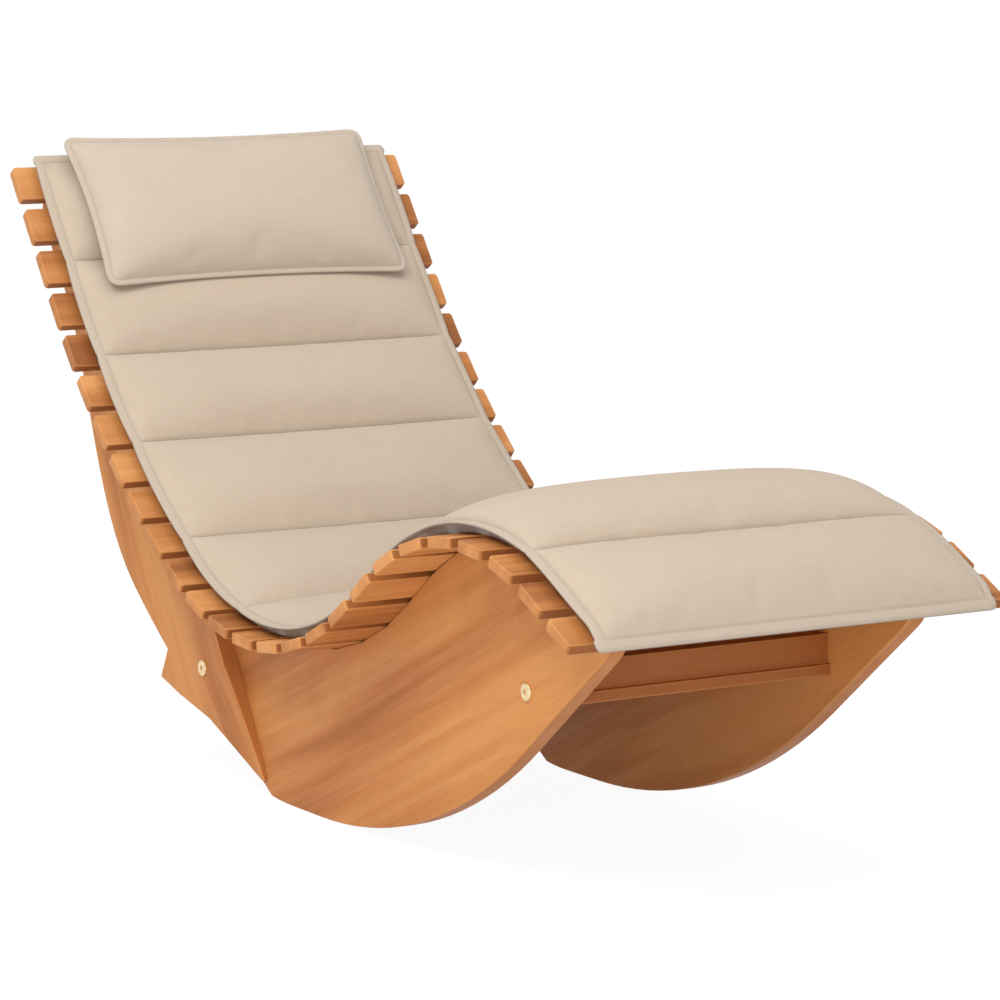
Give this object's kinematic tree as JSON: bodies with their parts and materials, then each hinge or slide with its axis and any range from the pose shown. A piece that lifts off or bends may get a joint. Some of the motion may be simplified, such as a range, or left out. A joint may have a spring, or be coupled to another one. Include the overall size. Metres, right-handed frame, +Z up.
{
  "type": "rocking chaise lounge",
  "caption": "Slatted S-curved wooden rocking chaise on two rocker boards with braced back rails, a channel-quilted pad and a head pillow.",
  "frame": {"origin": "on the floor under the middle of the whole chaise, at rest", "axes": "+X from the head to the feet, +Y across the seat to the left of someone lying in it, +Z up"},
  "size_m": [1.4942, 0.6, 0.8205],
  "materials": {
    "slat_wood": "satin",
    "board_wood": "satin",
    "pale_brass": "satin",
    "pad_cloth": "matte",
    "pillow_cloth": "matte"
  },
  "bodies": {
    "root": {"slat_01": "slat_wood", "slat_02": "slat_wood", "slat_03": "slat_wood", "slat_04": "slat_wood", "slat_05": "slat_wood", "slat_06": "slat_wood", "slat_07": "slat_wood", "slat_08": "slat_wood", "slat_09": "slat_wood", "slat_10": "slat_wood", "slat_11": "slat_wood", "slat_12": "slat_wood", "slat_13": "slat_wood", "slat_14": "slat_wood", "slat_15": "slat_wood", "slat_16": "slat_wood", "slat_17": "slat_wood", "slat_18": "slat_wood", "slat_19": "slat_wood", "slat_20": "slat_wood", "slat_21": "slat_wood", "slat_22": "slat_wood", "slat_23": "slat_wood", "slat_24": "slat_wood", "slat_25": "slat_wood", "slat_26": "slat_wood", "rocker_board_right": "board_wood", "rocker_board_left": "board_wood", "back_rail_right": "board_wood", "back_rail_left": "board_wood", "cross_beam_rear": "board_wood", "cross_beam_front": "board_wood", "bolt_rear_right": "pale_brass", "bolt_rear_left": "pale_brass", "bolt_front_right": "pale_brass", "bolt_front_left": "pale_brass", "seat_pad": "pad_cloth", "head_pillow": "pillow_cloth"}
  },
  "joints": []
}
